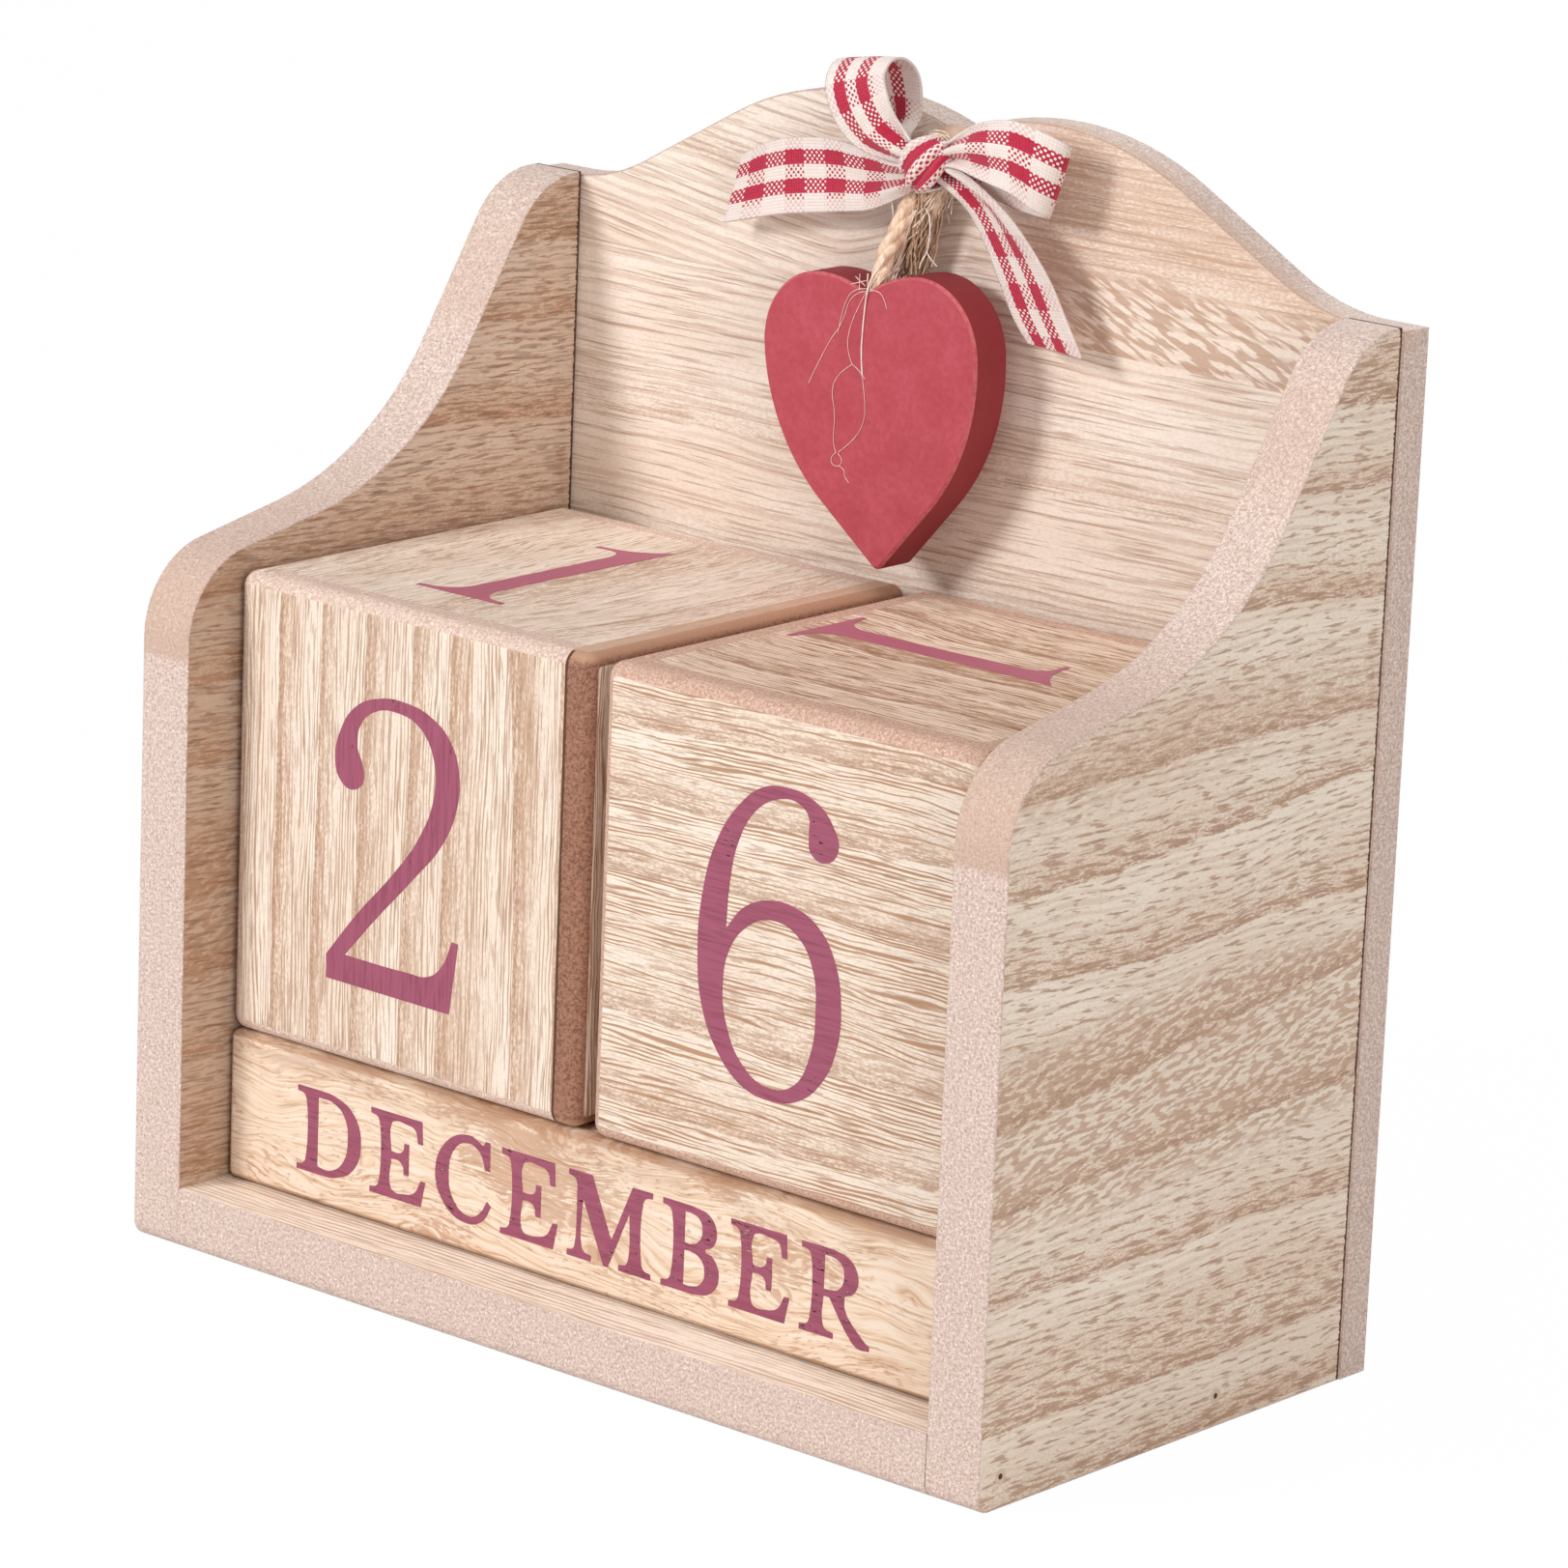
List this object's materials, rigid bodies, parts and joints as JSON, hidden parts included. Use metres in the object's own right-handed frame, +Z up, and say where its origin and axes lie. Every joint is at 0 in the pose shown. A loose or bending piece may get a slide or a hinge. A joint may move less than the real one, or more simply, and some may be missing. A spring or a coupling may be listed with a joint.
{
  "type": "perpetual calendar",
  "caption": "Wooden desk calendar: a case with a shaped back, two loose numbered cubes on month bars, and a heart hanging from a ribbon bow.",
  "frame": {"origin": "middle of the base, on the surface that the calendar stands on", "axes": "+X to the right seen from the front, +Y towards the back board, +Z up"},
  "size_m": [0.156, 0.084, 0.172],
  "materials": {
    "veneered_board": "striped veneer on fibreboard, unvarnished",
    "bar_wood": "solid wood, lightly singed edges",
    "red_paint": "matt paint on fibreboard",
    "ribbon": "woven gingham",
    "jute": "natural jute twine",
    "glue": "set hot glue",
    "steel": "bright brad"
  },
  "bodies": {
    "case": {"bottom_board": "veneered_board", "left_side": "veneered_board", "right_side": "veneered_board", "back_panel": "veneered_board", "side_brads": "steel", "back_brads": "steel", "glue_dab": "glue", "bow_knot": "ribbon", "bow_left_loop": "ribbon", "bow_right_loop": "ribbon", "bow_left_tail": "ribbon", "bow_right_tail": "ribbon"},
    "tens_cube": {"tens_cube_left": "veneered_board", "tens_cube_right": "veneered_board", "tens_cube_front": "veneered_board", "tens_cube_back": "veneered_board", "tens_cube_top": "veneered_board", "tens_cube_bottom": "veneered_board"},
    "ones_cube": {"ones_cube_left": "veneered_board", "ones_cube_right": "veneered_board", "ones_cube_front": "veneered_board", "ones_cube_back": "veneered_board", "ones_cube_top": "veneered_board", "ones_cube_bottom": "veneered_board"},
    "rear_bar": {"rear_month_bar": "bar_wood"},
    "middle_bar": {"middle_month_bar": "bar_wood"},
    "front_bar": {"front_month_bar": "bar_wood"},
    "hanging_heart": {"heart": "red_paint", "twine_loop": "jute"}
  },
  "joints": [
    {"name": "tens_cube_slide", "type": "slide", "parent": "case", "child": "tens_cube", "axis": [0, -1, 0], "range_m": [0, 0.078]},
    {"name": "ones_cube_slide", "type": "slide", "parent": "case", "child": "ones_cube", "axis": [0, -1, 0], "range_m": [0, 0.078]},
    {"name": "rear_bar_slide", "type": "slide", "parent": "case", "child": "rear_bar", "axis": [0, -1, 0], "range_m": [0, 0.08]},
    {"name": "middle_bar_slide", "type": "slide", "parent": "rear_bar", "child": "middle_bar", "axis": [0, -1, 0], "range_m": [0, 0.057]},
    {"name": "front_bar_slide", "type": "slide", "parent": "middle_bar", "child": "front_bar", "axis": [0, -1, 0], "range_m": [0, 0.034]},
    {"name": "heart_swing", "type": "hinge", "parent": "case", "child": "hanging_heart", "pos_m": [0.0002, 0.0319, 0.1585], "axis": [0, 1, 0], "range_deg": [-7, 9]}
  ]
}
